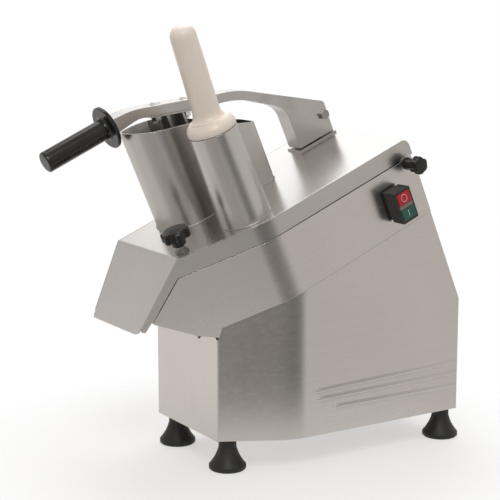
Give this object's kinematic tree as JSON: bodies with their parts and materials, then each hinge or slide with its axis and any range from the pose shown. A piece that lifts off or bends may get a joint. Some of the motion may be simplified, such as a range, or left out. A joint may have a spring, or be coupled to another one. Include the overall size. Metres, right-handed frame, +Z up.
{
  "type": "vegetable cutting machine",
  "caption": "Countertop vegetable cutting machine: sloping steel body with hinged lid, half-moon hopper with pusher lever, round feed tube with pestle, and a belt driven disc.",
  "frame": {"origin": "centre of the outline box on the floor under the feet", "axes": "+Z up; the outlet and grip face -X, the switch side faces -Y"},
  "size_m": [0.5518, 0.239, 0.5637],
  "materials": {
    "steel_sheet": "brushed sheet steel",
    "lid_steel": "brushed sheet steel",
    "hopper_steel": "round brushed steel",
    "cast_alloy": "satin cast alloy",
    "shaft_steel": "turned steel",
    "zinc_fastener": "bright plated",
    "black_plastic": "moulded black",
    "grip_plastic": "moulded black",
    "white_plastic": "turned food plastic",
    "stop_red": "moulded",
    "start_green": "moulded",
    "lamp_grey": "smoked lens",
    "black_rubber": "moulded",
    "belt_rubber": "ribbed",
    "motor_paint": "enamel",
    "cast_dark": "as cast",
    "bronze": "sintered"
  },
  "bodies": {
    "body": {"base_casing": "steel_sheet", "front_panel": "steel_sheet", "bottom_plate": "steel_sheet", "rubber_feet": "black_rubber", "foot_screws": "zinc_fastener", "head_housing": "steel_sheet", "cutting_tub": "cast_alloy", "outlet_slide": "steel_sheet", "bearing_housing": "cast_dark", "upper_bearing": "shaft_steel", "lower_bearing": "shaft_steel", "shaft_seal": "black_rubber", "motor_body": "motor_paint", "motor_shield": "cast_alloy", "fan_cover": "motor_paint", "motor_plate": "steel_sheet", "capacitor": "black_plastic", "drive_belt": "belt_rubber", "switch_housing": "black_plastic", "lamp_window": "lamp_grey", "contact_block": "black_plastic", "lid_sensor": "black_plastic", "cable_gland": "black_plastic", "hinge_brackets": "steel_sheet", "clamp_boss": "steel_sheet"},
    "spindle": {"main_shaft": "shaft_steel", "driven_pulley": "cast_dark", "drive_hub": "cast_alloy", "cutting_disc": "cast_alloy", "disc_knives": "shaft_steel", "ejector_disc": "white_plastic", "lock_screw": "shaft_steel"},
    "rotor": {"motor_shaft": "shaft_steel", "motor_pulley": "cast_dark", "cooling_fan": "black_plastic"},
    "lid": {"lid": "lid_steel", "lid_sides": "lid_steel", "lid_ears": "steel_sheet", "large_hopper": "hopper_steel", "small_tube": "hopper_steel", "lever_post": "cast_alloy", "pivot_bush": "bronze", "sensor_magnet": "cast_dark"},
    "lever": {"lever_arm": "cast_alloy", "lever_grip": "grip_plastic", "pusher_stem": "steel_sheet", "pusher_plate": "cast_alloy", "lever_bolts": "zinc_fastener", "pivot_bolt": "zinc_fastener"},
    "pestle": {"pestle": "white_plastic"},
    "front_washer": {"front_washer": "zinc_fastener"},
    "front_knob": {"front_knob": "grip_plastic"},
    "rear_washer": {"rear_washer": "zinc_fastener"},
    "rear_knob": {"rear_knob": "grip_plastic", "hinge_pin": "shaft_steel"},
    "stop_button": {"stop_button": "stop_red"},
    "start_button": {"start_button": "start_green"}
  },
  "joints": [
    {"name": "lid_hinge", "type": "hinge", "parent": "body", "child": "lid", "pos_m": [0.16587, 0.0085, 0.38283], "axis": [0, 1, 0], "range_deg": [0, 65]},
    {"name": "lever_hinge", "type": "hinge", "parent": "lid", "child": "lever", "pos_m": [0.13287, 0.0655, 0.43725], "axis": [0, 1, 0], "range_deg": [0, 85]},
    {"name": "pestle_slide", "type": "slide", "parent": "lid", "child": "pestle", "axis": [-0.3923, 0, 0.9198], "range_m": [0, 0.11]},
    {"name": "clamp_travel", "type": "slide", "parent": "lid", "child": "front_washer", "axis": [-0.3923, 0, 0.9198], "range_m": [0, 0.00375]},
    {"name": "clamp_turn", "type": "hinge", "parent": "front_washer", "child": "front_knob", "pos_m": [-0.14428, -0.0335, 0.30707], "axis": [-0.3923, 0, 0.9198], "range_deg": [0, 1080]},
    {"name": "pin_travel", "type": "slide", "parent": "body", "child": "rear_washer", "axis": [0, -1, 0], "range_m": [0, 0.0025]},
    {"name": "pin_turn", "type": "hinge", "parent": "rear_washer", "child": "rear_knob", "pos_m": [0.16587, -0.0915, 0.38283], "axis": [0, -1, 0], "range_deg": [0, 720]},
    {"name": "spindle_turn", "type": "hinge", "parent": "body", "child": "spindle", "pos_m": [-0.00153, 0.0085, 0.2375], "axis": [-0.3923, 0, 0.9198], "continuous": true},
    {"name": "rotor_turn", "type": "hinge", "parent": "body", "child": "rotor", "pos_m": [0.13828, 0.0085, 0.29713], "axis": [-0.3923, 0, 0.9198], "continuous": true},
    {"name": "stop_press", "type": "slide", "parent": "body", "child": "stop_button", "axis": [0, 1, 0], "range_m": [0, 0.0035], "stiffness_N_per_m": 300},
    {"name": "start_press", "type": "slide", "parent": "body", "child": "start_button", "axis": [0, 1, 0], "range_m": [0, 0.0035], "stiffness_N_per_m": 300}
  ],
  "couplings": [
    {"joint": "clamp_turn", "follows": "clamp_travel", "rad_per_m": 5026.5},
    {"joint": "pin_turn", "follows": "pin_travel", "rad_per_m": 5026.5},
    {"joint": "rotor_turn", "follows": "spindle_turn", "ratio": 3}
  ]
}
